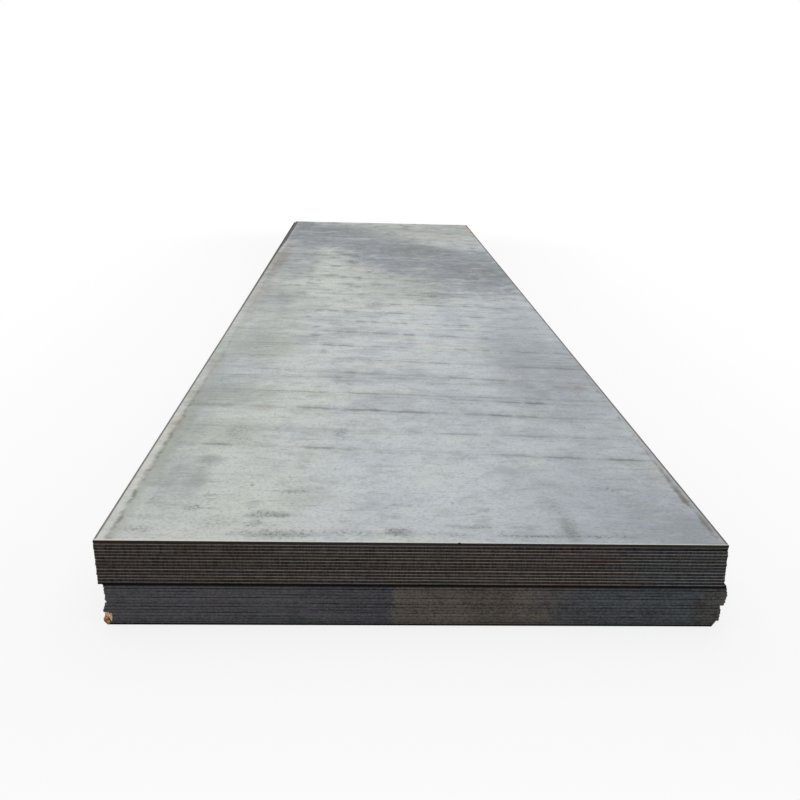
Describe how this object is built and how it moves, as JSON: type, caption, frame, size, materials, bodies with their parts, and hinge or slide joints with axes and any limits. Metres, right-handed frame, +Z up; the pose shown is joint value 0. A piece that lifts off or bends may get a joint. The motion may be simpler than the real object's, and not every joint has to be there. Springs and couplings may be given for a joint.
{
  "type": "stack of steel plates",
  "caption": "Flat stack of long rectangular hot-rolled steel plates, a flush sheared pack on a mill-edge pack, with thin joint lines and a weathered grey top.",
  "frame": {"origin": "on the floor, at the middle of the stack's footprint", "axes": "+X across the plates, to the right as seen from the front end; +Y along the plates, away from the front end; +Z up"},
  "size_m": [1.5389, 6.0162, 0.2321],
  "materials": {
    "weathered_top": "weathered mill finish, satin grey with darker transverse streaks, stains and a little rust",
    "upper_pack_steel": "dark mill scale with dull cut edges, warm brown-grey",
    "lower_pack_steel": "dark mill scale with dull edges, blue-grey, rusty at the beaten corners"
  },
  "bodies": {
    "root": {"upper_plate_01": "weathered_top", "upper_plate_02": "upper_pack_steel", "upper_plate_03": "upper_pack_steel", "upper_plate_04": "upper_pack_steel", "upper_plate_05": "upper_pack_steel", "upper_plate_06": "upper_pack_steel", "upper_plate_07": "upper_pack_steel", "upper_plate_08": "upper_pack_steel", "upper_plate_09": "upper_pack_steel", "upper_plate_10": "upper_pack_steel", "upper_plate_11": "upper_pack_steel", "upper_plate_12": "upper_pack_steel", "upper_plate_13": "upper_pack_steel", "upper_plate_14": "upper_pack_steel", "lower_plate_01": "lower_pack_steel", "lower_plate_02": "lower_pack_steel", "lower_plate_03": "lower_pack_steel", "lower_plate_04": "lower_pack_steel", "lower_plate_05": "lower_pack_steel", "lower_plate_06": "lower_pack_steel", "lower_plate_07": "lower_pack_steel", "lower_plate_08": "lower_pack_steel", "lower_plate_09": "lower_pack_steel", "lower_plate_10": "lower_pack_steel", "lower_plate_11": "lower_pack_steel", "lower_plate_12": "lower_pack_steel", "lower_plate_13": "lower_pack_steel", "lower_plate_14": "lower_pack_steel"}
  },
  "joints": []
}
